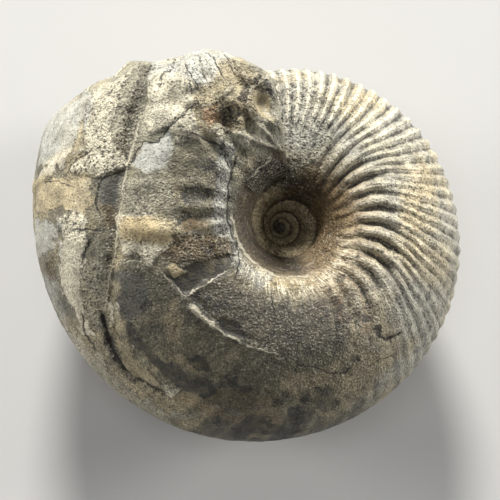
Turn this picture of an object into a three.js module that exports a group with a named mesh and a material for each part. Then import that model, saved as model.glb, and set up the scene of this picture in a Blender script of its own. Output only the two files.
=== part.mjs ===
// A globose fossil ammonite: a ribbed shell coiled in a plane, filled with stone, its last whorl
// broken off at the top, lying on one flank. The whole fossil grew and turned to stone as one
// piece, so it is one closed solid. Millimetres, +Z up. The origin is on the surface that the
// fossil lies on, under the middle of its bounding box.
//
// The shell is first made about its coil axis, its own Z axis. An angle runs clockwise round the
// coil from straight up, +Y, and grows by a full turn for each whorl. A second number, the section
// parameter, runs round the whorl's cross-section: from the umbilical seam of the upper flank,
// over the upper flank, the venter (the outer edge) and the lower flank, to the lower seam.
import * as THREE from 'three';

// Coil.
const DEGREE = Math.PI / 180;
const TURN = 360 * DEGREE;
const GROWTH = 0.0905; // growth of the logarithmic spiral per radian: 1.77 times a turn
const BREAK_START = -11.25 * DEGREE; // the broken end of the last whorl, one turn back
const BREAK_END = BREAK_START + TURN;
const INNER_TURNS = { upper: 3, lower: 2 }; // whorls seen inside each umbilicus

// Half of the whorl's section where it is largest: distance from the coil axis, height above the
// median plane. The other half mirrors it.
const HALF_SECTION = [
  [6.5, 12.7], [6.75, 15.4], [7.9, 18.6], [9.9, 21.2], [11.6, 22.4], [14.5, 23.5],
  [18.5, 24.05], [24.5, 23.3], [30.5, 20.2], [35.8, 14.8], [39.6, 7.8], [41.1, 0],
];
const MEDIAN = HALF_SECTION.length - 1;
const SECTION_END = 2 * MEDIAN;
const RIM_RADIUS = 10.8; // of the umbilical rim on that section
const VENTER_RADIUS = 41.1;
const SWELLING = 0.014; // the body chamber bulges past the even spiral by this share
const SWELLING_ANGLE = 222;
const SWELLING_WIDTH = 40;

// Ribs. Each primary rib leaves the umbilical rim and splits on the flank.
const PRIMARY_RIBS = 32; // per whorl
const SECONDARY_RIBS = 80;
const PRIMARY_HEIGHT = 0.64; // half of crest to groove, on a whorl of full size
const SECONDARY_HEIGHT = 0.31;
// How far forward of the radius a rib runs, in degrees, at shares of the way from rim to venter.
const RIB_SWEEP = [
  [-0.2, 4], [0, 2], [0.12, -5], [0.25, -5], [0.4, 0], [0.6, 8], [0.8, 14], [1, 19], [1.2, 22],
];
const SWEEP_GAIN = [[-20, 0.3], [20, 0.42], [70, 0.9], [140, 1.25], [400, 1.25]];
// How much of its full height a rib has at angles along the coil, in degrees.
const PRIMARY_STRENGTH = [[12, 0.2], [50, 1], [125, 1], [172, 0]];
const SECONDARY_STRENGTH = [[-11, 0.8], [45, 1], [68, 0.55], [92, 0.6], [112, 0.9], [138, 0]];

// Break. Past this angle the whorl is worn and broken down to these distances from the coil axis.
const BROKEN_RADIUS = [
  [284, 46], [294, 38], [300, 35.6], [306, 34.3], [311, 32.5], [316, 32.7], [319.5, 30.3],
  [323, 29.5], [327, 28.9], [334, 28.3], [340, 26.1], [345, 24.1], [349, 21.6],
];
const BREAK_ROUNDING = 2.4;
const EDGE_DROP = 3.2; // how far the broken edge rounds over, in millimetres
const EDGE_SPAN = 9; // degrees
const LUMP_HEIGHT = 0.5;

// Furrow: a groove along the upper flank of the body chamber, where the crust has split. Its
// place on the section at angles along the coil, in degrees.
const FURROW_LINE = [
  [205, 9.6], [216, 9.4], [233, 9.15], [245, 8.7], [259, 8], [275, 7.7], [292, 7.65], [307, 7.9],
  [317, 8.4], [328, 8.7],
];
const FURROW_DEPTH = 1.1;
const FURROW_HALF_WIDTH = 0.22; // in section parameter
const FURROW_FADE = [208, 250, 322, 334]; // degrees: fades in, then out

// Rest pose: the shell tips by these angles until it lies on three points of its lower flank.
const LEAN = new THREE.Euler(9.12 * DEGREE, 4.14 * DEGREE, 0, 'YXZ');

// Mesh. Rows across the section, and columns along the coil that follow the ribs.
const UPPER_ROWS = [0, 1.8, 3.6, 4.4, 5.1, 5.7, 6.4, 7.1, 7.6, 7.9, 8.2, 9, 9.8, 10.4];
const LOWER_ROWS = [11, 11.7, 12.6, 13.6, 14.6, 15.6, 16.6, 17.5, 18.4, 20.2, 22];
const ROWS = [...UPPER_ROWS, ...LOWER_ROWS];
const WALL_ROWS = 3; // rows on each umbilical wall, up to the rim
const FURROW_ROW = UPPER_ROWS.indexOf(7.9);
const RIB_STEP = 2.25; // degrees: puts a column on each crest and in each groove

const STONE_COLOUR = 0x9c9482;

function clamp01(value) {
  return Math.min(1, Math.max(0, value));
}

function fade(from, to, value) {
  const t = clamp01((value - from) / (to - from));
  return t * t * (3 - 2 * t);
}

// Straight-line interpolation in a table of [key, value] pairs.
function lookUp(table, key) {
  if (key <= table[0][0]) return table[0][1];
  for (let i = 1; i < table.length; i++) {
    const [k0, v0] = table[i - 1];
    const [k1, v1] = table[i];
    if (key <= k1) return v0 + (v1 - v0) * (key - k0) / (k1 - k0);
  }
  return table[table.length - 1][1];
}

// The smaller of two lengths, rounded where they meet.
function softMin(a, b, rounding) {
  const h = clamp01(0.5 + 0.5 * (b - a) / rounding);
  return b * (1 - h) + a * h - rounding * h * (1 - h);
}

const section = new THREE.SplineCurve([
  ...HALF_SECTION.map(([r, z]) => new THREE.Vector2(r, z)),
  ...HALF_SECTION.slice(0, -1).reverse().map(([r, z]) => new THREE.Vector2(r, -z)),
]);

function sectionPoint(parameter) {
  return section.getPoint(clamp01(parameter / SECTION_END));
}

function sectionNormal(parameter) {
  const along = sectionPoint(parameter + 0.03).sub(sectionPoint(parameter - 0.03));
  return new THREE.Vector2(-along.y, along.x).normalize();
}

function shareToVenter(parameter) {
  return (sectionPoint(parameter).x - RIM_RADIUS) / (VENTER_RADIUS - RIM_RADIUS);
}

function ribSweep(share, degrees) {
  return lookUp(RIB_SWEEP, share) * lookUp(SWEEP_GAIN, degrees);
}

// Height of the ribs above the plain whorl: faint on the shoulder, full from there to the split.
function ribs(share, degrees) {
  const path = degrees - ribSweep(share, degrees);
  const split = fade(0.28, 0.5, share);
  const rise = 0.25 * fade(-0.08, 0.06, share) + 0.75 * fade(0.07, 0.2, share);
  const primary = PRIMARY_HEIGHT * rise * (1 - split) * lookUp(PRIMARY_STRENGTH, path);
  const secondary = SECONDARY_HEIGHT * split * lookUp(SECONDARY_STRENGTH, path);
  return primary * Math.cos(path * DEGREE * PRIMARY_RIBS)
    + secondary * Math.cos(path * DEGREE * SECONDARY_RIBS);
}

function furrow(parameter, degrees) {
  const across = (parameter - lookUp(FURROW_LINE, degrees)) / FURROW_HALF_WIDTH;
  const [a, b, c, d] = FURROW_FADE;
  return -FURROW_DEPTH * Math.exp(-across * across) * fade(a, b, degrees) * (1 - fade(c, d, degrees));
}

// The broken edge rounds over from the flanks into the end face.
function edgeDrop(parameter, degrees) {
  const s = clamp01((degrees - (BREAK_END / DEGREE - EDGE_SPAN)) / EDGE_SPAN);
  const onFlank = fade(1.5, 4, parameter) * fade(1.5, 4, SECTION_END - parameter);
  return -EDGE_DROP * (1 - Math.sqrt(1 - s * s)) * onFlank;
}

// Low lumps of hard sediment on the broken part.
function lumps(parameter, degrees) {
  const onFlank = fade(4, 5.5, parameter) * fade(4, 5.5, SECTION_END - parameter);
  const wave = Math.sin(0.31 * degrees + 1.1 * parameter) * Math.sin(2.1 * parameter + 0.9)
    + 0.6 * Math.sin(0.55 * degrees - 1.7 * parameter + 2);
  return LUMP_HEIGHT * wave * onFlank * fade(296, 312, degrees) * (1 - fade(343, 348, degrees));
}

// A point of the shell's surface about its coil axis. Relief stands on what is left of the shell,
// and not on the break.
function shellPoint(angle, parameter) {
  const degrees = angle / DEGREE;
  const size = Math.exp(GROWTH * (angle - TURN));
  const fromSwelling = (degrees - SWELLING_ANGLE) / SWELLING_WIDTH;
  const point = sectionPoint(parameter).multiplyScalar(size);
  point.x *= 1 + SWELLING * Math.exp(-fromSwelling * fromSwelling);
  point.addScaledVector(sectionNormal(parameter), edgeDrop(parameter, degrees));
  let relief = size * ribs(shareToVenter(parameter), degrees) + furrow(parameter, degrees)
    + lumps(parameter, degrees);
  if (degrees > BROKEN_RADIUS[0][0]) {
    const across = point.y / 22;
    const broken = lookUp(BROKEN_RADIUS, degrees) * (1 - 0.13 * across * across);
    relief *= 1 - fade(-BREAK_ROUNDING, BREAK_ROUNDING, point.x - broken);
    point.x = softMin(point.x, broken, BREAK_ROUNDING);
  }
  point.addScaledVector(sectionNormal(parameter), relief);
  return new THREE.Vector3(point.x * Math.sin(angle), point.x * Math.cos(angle), point.y);
}

// Columns are close together at the ribs and the break, and wide apart on the smooth body chamber.
function columnAngles() {
  const angles = [];
  let degrees = BREAK_START / DEGREE;
  while (degrees < BREAK_END / DEGREE) {
    angles.push(degrees * DEGREE);
    if (degrees < 168.75) degrees += RIB_STEP;
    else if (degrees < 186.75) degrees += 2 * RIB_STEP;
    else if (degrees < 285.75) degrees += 4 * RIB_STEP;
    else if (degrees < 303.75) degrees += 2 * RIB_STEP;
    else degrees += RIB_STEP;
  }
  angles.push(BREAK_END);
  return angles;
}

// The section parameter of a row: the rows near the furrow move with it.
function rowParameter(row, degrees) {
  const shift = lookUp(FURROW_LINE, degrees) - ROWS[FURROW_ROW];
  const rimToVenter = [[3.6, 0], [7.6, 1], [8.2, 1], [11, 0]];
  return ROWS[row] + shift * lookUp(rimToVenter, ROWS[row]);
}

// The angle of a mesh vertex: its column bends along the ribs, but is straight at the break.
function vertexAngle(column, parameter) {
  const bend = fade(0, 25, (column - BREAK_START) / DEGREE)
    * fade(0, 90, (BREAK_END - column) / DEGREE);
  const share = shareToVenter(parameter);
  let angle = column;
  for (let i = 0; i < 4; i++) {
    angle = column + bend * ribSweep(share, angle / DEGREE) * DEGREE;
  }
  return angle;
}

class SolidBuilder {
  constructor() {
    this.points = [];
    this.triangles = [];
  }

  vertex(point) {
    this.points.push(point);
    return this.points.length - 1;
  }

  // Corners are given clockwise as seen from outside, as angles round the coil are.
  triangle(a, b, c) {
    if (a !== b && b !== c && c !== a) this.triangles.push(a, c, b);
  }

  quad(a, b, c, d) {
    this.triangle(a, b, c);
    this.triangle(a, c, d);
  }

  // Joins two rows of vertices, of any lengths, by a strip of triangles.
  strip(lower, upper) {
    let i = 0;
    let k = 0;
    while (i < lower.length - 1 || k < upper.length - 1) {
      const lowerNext = (i + 1) / (lower.length - 1);
      const upperNext = (k + 1) / (upper.length - 1);
      if (i < lower.length - 1 && (lowerNext <= upperNext || k === upper.length - 1)) {
        this.triangle(lower[i], upper[k], lower[i + 1]);
        i += 1;
      } else {
        this.triangle(lower[i], upper[k], upper[k + 1]);
        k += 1;
      }
    }
  }

  fan(loop, centre) {
    for (let i = 0; i < loop.length; i++) {
      this.triangle(loop[i], loop[(i + 1) % loop.length], centre);
    }
  }

  geometry() {
    const result = new THREE.BufferGeometry();
    const flat = this.points.flatMap((p) => [p.x, p.y, p.z]);
    result.setAttribute('position', new THREE.Float32BufferAttribute(flat, 3));
    result.setIndex(this.triangles);
    result.computeVertexNormals();
    return result;
  }
}

// The last whorl: all rows, over one turn.
function addLastWhorl(solid, columns) {
  const grid = columns.map((column) => ROWS.map((_, row) => {
    const parameter = rowParameter(row, column / DEGREE);
    return solid.vertex(shellPoint(vertexAngle(column, parameter), parameter));
  }));
  for (let j = 0; j + 1 < grid.length; j++) {
    for (let i = 0; i + 1 < ROWS.length; i++) {
      solid.quad(grid[j][i], grid[j][i + 1], grid[j + 1][i + 1], grid[j + 1][i]);
    }
  }
  return grid;
}

// One umbilicus: the walls of the inner whorls, each up to the seam of the whorl outside it.
// Rows are counted from the seam to the rim, and facing tells the upper side from the lower one.
function addUmbilicus(solid, columns, lastWhorl, side) {
  const rowOf = (step) => (side === 'upper' ? step : ROWS.length - 1 - step);
  const addQuad = (a, b, c, d) => (side === 'upper' ? solid.quad(a, b, c, d) : solid.quad(d, c, b, a));
  const steps = [...Array(WALL_ROWS).keys()];
  let outside = lastWhorl.map((vertices) => steps.map((step) => vertices[rowOf(step)]));
  for (let turn = 1; turn <= INNER_TURNS[side]; turn++) {
    const whorl = columns.map((column, j) => steps.map((step) => {
      if (j === columns.length - 1) return outside[0][step];
      const parameter = ROWS[rowOf(step)];
      return solid.vertex(shellPoint(vertexAngle(column, parameter) - turn * TURN, parameter));
    }));
    const toSeam = whorl.map((vertices, j) => [...vertices, outside[j][0]]);
    for (let j = 0; j + 1 < columns.length; j++) {
      for (let step = 0; step < WALL_ROWS; step++) {
        addQuad(toSeam[j][step], toSeam[j][step + 1], toSeam[j + 1][step + 1], toSeam[j + 1][step]);
      }
    }
    outside = whorl;
  }
  const loop = [...outside.map((vertices) => vertices[0]), ...outside[0].slice(1).reverse()];
  const middle = loop.reduce((sum, v) => sum + solid.points[v].z, 0) / loop.length;
  const centre = solid.vertex(new THREE.Vector3(0, 0, middle));
  solid.fan(side === 'upper' ? loop : loop.reverse(), centre);
}

// The broken end of the last whorl: stone from the arch of the whorl beneath up to the edge.
function addEndFace(solid, lastWhorl) {
  const arch = lastWhorl[0].slice(WALL_ROWS - 1, ROWS.length - WALL_ROWS + 1);
  const edge = lastWhorl[lastWhorl.length - 1];
  const outward = new THREE.Vector3(Math.cos(BREAK_END), -Math.sin(BREAK_END), 0);
  const levels = [0.3, 0.65];
  const count = 22;
  const sample = (line, s) => {
    const at = s * (line.length - 1);
    const i = Math.min(Math.floor(at), line.length - 2);
    return solid.points[line[i]].clone().lerp(solid.points[line[i + 1]], at - i);
  };
  let below = arch;
  for (const level of levels) {
    const row = [edge[0]];
    for (let k = 1; k < count; k++) {
      const s = k / count;
      const point = sample(arch, s).lerp(sample(edge, s), level);
      const bulge = Math.sin(Math.PI * s) * (0.9 + 0.7 * Math.sin(9 * s + 5 * level));
      row.push(solid.vertex(point.addScaledVector(outward, bulge)));
    }
    row.push(edge[edge.length - 1]);
    solid.strip(below, row);
    below = row;
  }
  solid.strip(below, edge);
}

function ammonite() {
  const solid = new SolidBuilder();
  const columns = columnAngles();
  const lastWhorl = addLastWhorl(solid, columns);
  addUmbilicus(solid, columns, lastWhorl, 'upper');
  addUmbilicus(solid, columns, lastWhorl, 'lower');
  addEndFace(solid, lastWhorl);
  const stone = new THREE.MeshStandardMaterial({ color: STONE_COLOUR, roughness: 0.8, metalness: 0 });
  const mesh = new THREE.Mesh(solid.geometry(), stone);
  mesh.name = 'ammonite';
  mesh.rotation.copy(LEAN);
  return mesh;
}

// Stands the box of what it is given on the surface, over the origin.
function settle(mesh) {
  mesh.updateMatrixWorld(true);
  const box = new THREE.Box3().setFromObject(mesh, true);
  const centre = box.getCenter(new THREE.Vector3());
  mesh.position.sub(new THREE.Vector3(centre.x, centre.y, box.min.z));
  return mesh;
}

const part = new THREE.Group();
part.add(settle(ammonite()));

export default part;
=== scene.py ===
import bpy
import numpy as np
from mathutils import Matrix, Vector


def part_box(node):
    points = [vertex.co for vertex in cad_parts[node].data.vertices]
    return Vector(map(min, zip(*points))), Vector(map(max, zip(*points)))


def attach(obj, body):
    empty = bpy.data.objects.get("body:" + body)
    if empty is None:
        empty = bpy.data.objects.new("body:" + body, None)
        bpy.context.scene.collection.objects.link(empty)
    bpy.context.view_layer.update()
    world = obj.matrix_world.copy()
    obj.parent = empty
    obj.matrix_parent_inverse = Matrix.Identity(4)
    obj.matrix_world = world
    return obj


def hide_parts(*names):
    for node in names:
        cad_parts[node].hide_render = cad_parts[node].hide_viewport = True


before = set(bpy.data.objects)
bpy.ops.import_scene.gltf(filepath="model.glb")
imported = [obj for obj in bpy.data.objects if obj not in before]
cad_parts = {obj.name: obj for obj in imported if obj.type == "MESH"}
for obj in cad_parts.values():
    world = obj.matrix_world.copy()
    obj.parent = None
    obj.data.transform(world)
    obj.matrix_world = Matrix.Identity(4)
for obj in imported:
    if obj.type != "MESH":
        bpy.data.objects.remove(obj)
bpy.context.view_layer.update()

# ---- Ammonite: shape -----------------------------------------------------------------------
# The whole fossil, shell and stone filling, in one piece of limestone. The shell grew as a
# logarithmic spiral: the same whorl section, turned and enlarged. Sheets of mesh are laid over
# the whorls in millimetres about the coil axis, joined into one closed skin and laid down.
# Angles run clockwise round the coil in degrees, and the section parameter runs round the section.
MM = 0.001
GROWTH = 0.0905  # per radian of the coil
BREAK_START = -11.25  # degrees clockwise from the top; the last whorl ends one turn further on
BREAK_END = BREAK_START + 360
HALF_SECTION = [
    (6.5, 12.7), (6.75, 15.4), (7.9, 18.6), (9.9, 21.2), (11.6, 22.4), (14.5, 23.5),
    (18.5, 24.05), (24.5, 23.3), (30.5, 20.2), (35.8, 14.8), (39.6, 7.8), (41.1, 0.0),
]
SECTION = np.array(HALF_SECTION + [(r, -z) for r, z in HALF_SECTION[-2::-1]])
MEDIAN = len(HALF_SECTION) - 1
SECTION_END = 2 * MEDIAN
RIM = 3.6  # section parameter of the umbilical rim
RIM_RADIUS = 10.8
VENTER_RADIUS = 41.1
SWELLING = 0.014
SWELLING_ANGLE = 222
SWELLING_WIDTH = 40
NORMAL_STEP = 0.03  # section parameter to either side, over which a normal is measured

PRIMARY_RIBS = 32
SECONDARY_RIBS = 80
PRIMARY_HEIGHT = 0.66
SECONDARY_HEIGHT = 0.31
RIB_SWEEP = [
    (-0.2, 4), (0, 2), (0.12, -5), (0.25, -5), (0.4, 0), (0.6, 7.5), (0.8, 11.5), (1, 14), (1.2, 15.5),
]
SWEEP_GAIN = [(-20, 0.3), (20, 0.42), (70, 0.85), (110, 0.85), (140, 0.95), (400, 1.1)]
PRIMARY_STRENGTH = [(12, 0.2), (50, 1), (125, 1), (172, 0)]
SECONDARY_STRENGTH = [(-11, 0.8), (45, 1), (68, 0.6), (92, 0.7), (112, 0.75), (125, 0.4), (138, 0)]
CREST_SHARPNESS = 1.4
RIBS_END = 175  # degrees, past which the mesh needs no columns along ribs
RIM_WAVES = 31  # worn ribs per whorl, on the shoulder of the body chamber
RIM_WAVE_HEIGHT = 0.25
RIM_WAVE_SPAN = (245, 265, 315, 330)
UNEVENNESS = 0.55  # share by which the ribs' height varies
WEAR = 0.06

# Fitted to the outline by a script, then adjusted by hand: angle and distance from the axis.
BROKEN_RADIUS = [
    (284, 46), (294, 38), (300, 35.6), (306, 34.3), (311, 32.5), (316, 32.7), (319.5, 30.3),
    (323, 29.5), (327, 28.9), (334, 28.3), (340, 26.1), (345, 24.1), (349, 21.6),
]
UNBROKEN = 99  # a radius that no part of the shell reaches
BREAK_BOW = 0.13  # share by which the break is nearer the axis, at the height below
BREAK_BOW_HEIGHT = 22
BREAK_ROUNDING = 2.4
EDGE_DROP = 3.2
EDGE_SPAN = 9
LUMP_HEIGHT = 0.5
LUMP_SPAN = (296, 312, 343, 348)

# Angle and section parameter, converted by a script from points picked by eye.
FURROW_LINE = [
    (205, 9.6), (216, 9.4), (233, 9.15), (245, 8.7), (259, 8), (275, 7.7), (292, 7.65), (307, 7.9),
    (317, 8.4), (328, 8.7),
]
FURROW_DEPTH = 1.1
FURROW_HALF_WIDTH = 0.22
FURROW_SPAN = (208, 250, 322, 334)

LEAN_X, LEAN_Y = 9.12, 4.14  # degrees that lay the shell on its lower flank


def fade(start, end, value):
    t = np.clip((value - start) / (end - start), 0, 1)
    return t * t * (3 - 2 * t)


def between(span, value):
    """1 inside a span and 0 outside, given where it starts to rise, is full, falls and is gone."""
    rise, full, fall, gone = span
    return fade(rise, full, value) * (1 - fade(fall, gone, value))


def hump(middle, width, value):
    return np.exp(-((value - middle) / width) ** 2)


def look_up(table, key):
    keys, values = zip(*table)
    return np.interp(key, keys, values)


def soft_min(a, b, rounding):
    h = np.clip(0.5 + 0.5 * (b - a) / rounding, 0, 1)
    return b * (1 - h) + a * h - rounding * h * (1 - h)


def section_point(parameter):
    """A smooth curve through the section's points, as an array of (radius, height)."""
    last = len(SECTION) - 1
    t = np.clip(parameter, 0, last)
    i = np.minimum(t.astype(int), last - 1)
    f = (t - i)[..., None]
    before, here = SECTION[np.maximum(i - 1, 0)], SECTION[i]
    after, beyond = SECTION[i + 1], SECTION[np.minimum(i + 2, last)]
    return 0.5 * (2 * here + (after - before) * f
                  + (2 * before - 5 * here + 4 * after - beyond) * f ** 2
                  + (3 * here - before - 3 * after + beyond) * f ** 3)


def section_normal(parameter):
    along = section_point(parameter + NORMAL_STEP) - section_point(parameter - NORMAL_STEP)
    normal = np.stack([-along[..., 1], along[..., 0]], -1)
    return normal / np.linalg.norm(normal, axis=-1, keepdims=True)


def share_to_venter(parameter):
    return (section_point(parameter)[..., 0] - RIM_RADIUS) / (VENTER_RADIUS - RIM_RADIUS)


def whorl_scale(degrees):
    """The size of the section at an angle, against its size one turn past straight up."""
    return np.exp(GROWTH * (np.radians(degrees) - 2 * np.pi))


def rib_path(share, degrees):
    """The angle at which the rib through a point would meet a straight radius."""
    return degrees - look_up(RIB_SWEEP, share) * look_up(SWEEP_GAIN, degrees)


def crest(turns):
    """A rib's profile, 1 along the broad crest and -1 in the narrower groove."""
    return 1 - 2 * ((1 - np.cos(turns)) / 2) ** CREST_SHARPNESS


def rib_waves(share, degrees):
    """Primary and secondary ribs, each from -1 to 1 where they are at full strength."""
    path = rib_path(share, degrees)
    split = fade(0.28, 0.5, share)
    rise = 0.25 * fade(-0.08, 0.06, share) + 0.75 * fade(0.07, 0.2, share)
    primary = rise * (1 - split) * look_up(PRIMARY_STRENGTH, path)
    secondary = split * look_up(SECONDARY_STRENGTH, path)
    return (primary * crest(np.radians(path) * PRIMARY_RIBS),
            secondary * crest(np.radians(path) * SECONDARY_RIBS))


def rim_swells(share, degrees):
    """Worn-down ribs on the shoulder of the body chamber."""
    near_rim = fade(-0.05, 0.08, share) * (1 - fade(0.15, 0.45, share))
    fainter = 0.6 + 0.4 * np.sin(np.radians(degrees) * 7)
    wave = np.cos(np.radians(degrees + 12 * share) * RIM_WAVES)
    return near_rim * fainter * between(RIM_WAVE_SPAN, degrees) * wave


def furrow(parameter, degrees):
    groove = hump(look_up(FURROW_LINE, degrees), FURROW_HALF_WIDTH, parameter)
    return -FURROW_DEPTH * groove * between(FURROW_SPAN, degrees)


def edge_drop(parameter, degrees):
    s = np.clip((degrees - (BREAK_END - EDGE_SPAN)) / EDGE_SPAN, 0, 1)
    on_flank = fade(1.5, 4, parameter) * fade(1.5, 4, SECTION_END - parameter)
    return -EDGE_DROP * (1 - np.sqrt(1 - s * s)) * on_flank


def lumps(parameter, degrees):
    on_flank = fade(4, 5.5, parameter) * fade(4, 5.5, SECTION_END - parameter)
    wave = (np.sin(0.31 * degrees + 1.1 * parameter) * np.sin(2.1 * parameter + 0.9)
            + 0.6 * np.sin(0.55 * degrees - 1.7 * parameter + 2))
    return LUMP_HEIGHT * wave * on_flank * between(LUMP_SPAN, degrees)


def hashed(corner, seed):
    """A repeatable value from -1 to 1 for each corner of a unit grid."""
    mixed = corner @ np.array([127.1, 311.7, 74.7]) + seed * 19.19
    value = np.sin(mixed) * 43758.5453
    return 2 * (value - np.floor(value)) - 1


def noise(points, size, seed):
    """Smooth lumps of about the given size in millimetres, from -1 to 1."""
    p = points / size
    base = np.floor(p)
    f = p - base
    f = f * f * f * (f * (6 * f - 15) + 10)
    total = 0
    for dx in (0, 1):
        for dy in (0, 1):
            for dz in (0, 1):
                weight = (np.where(dx, f[..., 0], 1 - f[..., 0])
                          * np.where(dy, f[..., 1], 1 - f[..., 1])
                          * np.where(dz, f[..., 2], 1 - f[..., 2]))
                total = total + weight * hashed(base + np.array([dx, dy, dz]), seed)
    return total


def whorl_point(degrees, parameter, relief):
    """A point about the coil axis. Relief stands on the shell that is left, not on the break."""
    normal = section_normal(parameter)
    section = section_point(parameter) * whorl_scale(degrees)[..., None]
    section[..., 0] *= 1 + SWELLING * hump(SWELLING_ANGLE, SWELLING_WIDTH, degrees)
    section += normal * edge_drop(parameter, degrees)[..., None]
    radius, height = section[..., 0], section[..., 1]
    bow = 1 - BREAK_BOW * (height / BREAK_BOW_HEIGHT) ** 2
    past_start = degrees > BROKEN_RADIUS[0][0]
    broken = np.where(past_start, look_up(BROKEN_RADIUS, degrees) * bow, UNBROKEN)
    kept = 1 - fade(-BREAK_ROUNDING, BREAK_ROUNDING, radius - broken)
    radius = soft_min(radius, broken, BREAK_ROUNDING) + normal[..., 0] * relief * kept
    height = height + normal[..., 1] * relief * kept
    angle = np.radians(degrees)
    return np.stack([radius * np.sin(angle), radius * np.cos(angle), height], -1)


def surface(degrees, parameter):
    """Points of the finished surface, about the coil axis."""
    share = share_to_venter(parameter)
    size = whorl_scale(degrees)
    primary, secondary = rib_waves(share, degrees)
    plain = whorl_point(degrees, parameter, 0 * degrees)
    uneven = 1 + UNEVENNESS * noise(plain, 4.5, 3)
    relief = (size * uneven * (PRIMARY_HEIGHT * primary + SECONDARY_HEIGHT * secondary)
              + RIM_WAVE_HEIGHT * rim_swells(share, degrees) + furrow(parameter, degrees)
              + lumps(parameter, degrees))
    worn = size * WEAR * noise(plain / size[..., None], 1.6, 1)
    broken = fade(292, 312, degrees) * fade(3.4, 5, parameter)
    rough = broken * (0.45 * noise(plain, 2.6, 2) + 0.3 * noise(plain, 1.2, 6))
    return whorl_point(degrees, parameter, relief + worn + rough)


def even_rows(start, end, count):
    """Section parameters that lie evenly along the section's curve."""
    fine = np.linspace(start, end, 400)
    steps = np.linalg.norm(np.diff(section_point(fine), axis=0), axis=1)
    along = np.concatenate([[0], np.cumsum(steps)])
    return np.interp(np.linspace(0, along[-1], count + 1), along, fine)


UPPER_WALL_ROWS, LOWER_WALL_ROWS = 8, 4
ROWS = np.concatenate([
    even_rows(0, RIM, UPPER_WALL_ROWS)[:-1],
    even_rows(RIM, MEDIAN, 114)[:-1],
    even_rows(MEDIAN, 14.5, 24)[:-1],
    even_rows(14.5, SECTION_END - RIM, 16)[:-1],
    even_rows(SECTION_END - RIM, SECTION_END, LOWER_WALL_ROWS),
])
RIBBED_STEP, SMOOTH_STEP = 0.74, 0.82
COLUMNS = np.concatenate([
    np.arange(BREAK_START, RIBS_END, RIBBED_STEP),
    np.linspace(RIBS_END, BREAK_END, int((BREAK_END - RIBS_END) / SMOOTH_STEP)),
])


def vertex_degrees(column, parameter):
    """A column of the mesh runs along the ribs, but straight at the break."""
    bend = fade(0, 25, column - BREAK_START) * fade(0, 90, BREAK_END - column)
    share = share_to_venter(parameter)
    degrees = column
    for _ in range(4):
        degrees = column + bend * look_up(RIB_SWEEP, share) * look_up(SWEEP_GAIN, degrees)
    return degrees


def keep(mesh, name, values, kind="FLOAT", key="value"):
    """Keeps a value for each vertex of a mesh, as an attribute."""
    made = mesh.attributes.new(name, kind, "POINT")
    made.data.foreach_set(key, values.astype(np.float32).ravel())


def sheet(name, points, degrees, parameter):
    """A grid of mesh with its vertices moved to a table of points, and where they are on the
    coil kept as attributes for the colours."""
    columns, rows = points.shape[:2]
    bpy.ops.mesh.primitive_grid_add(x_subdivisions=columns - 1, y_subdivisions=rows - 1, size=2)
    made = bpy.context.object
    made.name = name
    start = np.empty(len(made.data.vertices) * 3)
    made.data.vertices.foreach_get("co", start)
    start = start.reshape(-1, 3)
    column = np.rint((start[:, 0] + 1) / 2 * (columns - 1)).astype(int)
    row = np.rint((start[:, 1] + 1) / 2 * (rows - 1)).astype(int)
    made.data.vertices.foreach_set("co", (points[column, row] * MM).ravel())
    keep(made.data, "coil_degrees", degrees[column, row])
    keep(made.data, "coil_section", parameter[column, row])
    return made


bpy.ops.object.select_all(action="DESELECT")
column_grid, row_grid = np.meshgrid(COLUMNS, ROWS, indexing="ij")
last_degrees = vertex_degrees(column_grid, row_grid)
last_whorl = surface(last_degrees, row_grid)
sheets = [sheet("last_whorl", last_whorl, last_degrees, row_grid)]


def umbilicus(side, wall_rows, turns):
    """The walls of the inner whorls, each up to the seam of the whorl outside it."""
    pick = slice(0, wall_rows + 1) if side == "upper" else slice(len(ROWS) - 1, -wall_rows - 2, -1)
    outer_seam, outer_seam_at = last_whorl[:, pick][:, :1], last_degrees[:, pick][:, :1]
    wall = row_grid[:, pick]
    made = []
    for turn in range(1, turns + 1):
        degrees = last_degrees[:, pick] - 360 * turn
        points = surface(degrees, wall)
        made.append(sheet(
            f"{side}_whorl_{turn}", np.concatenate([points, outer_seam], 1),
            np.concatenate([degrees, outer_seam_at], 1),
            np.concatenate([wall, wall[:, :1]], 1)))
        outer_seam, outer_seam_at = points[:, :1], degrees[:, :1]
    return made


sheets += umbilicus("upper", UPPER_WALL_ROWS, 3)
sheets += umbilicus("lower", LOWER_WALL_ROWS, 2)

# The broken end: stone from the arch of the whorl beneath up to the edge of the last whorl.
END_LEVELS = 12
first_row, last_row = UPPER_WALL_ROWS, len(ROWS) - 1 - LOWER_WALL_ROWS
arch = last_whorl[0, np.clip(np.arange(len(ROWS)), first_row, last_row)]
edge = last_whorl[-1]
levels = np.linspace(0, 1, END_LEVELS + 1)[:, None, None]
end_face = arch[None] * (1 - levels) + edge[None] * levels
along_row = np.linspace(0, 1, len(ROWS))[None, :]
domed = np.sin(np.pi * levels[..., 0]) * np.sin(np.pi * along_row)
outward = np.array([np.cos(np.radians(BREAK_END)), -np.sin(np.radians(BREAK_END)), 0])
bulge = domed * (1.1 + 1.3 * noise(end_face, 5.0, 4) + 0.5 * noise(end_face, 2.2, 5))
end_face = end_face + bulge[..., None] * outward
end_face[1:-1, 0], end_face[1:-1, -1] = edge[0], edge[-1]
end_at = np.broadcast_to(levels[..., 0], end_face.shape[:2])
sheets.append(sheet("broken_end", end_face, BREAK_END + 20 * (1 - end_at),
                    np.broadcast_to(ROWS[None, :], end_face.shape[:2])))

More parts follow.
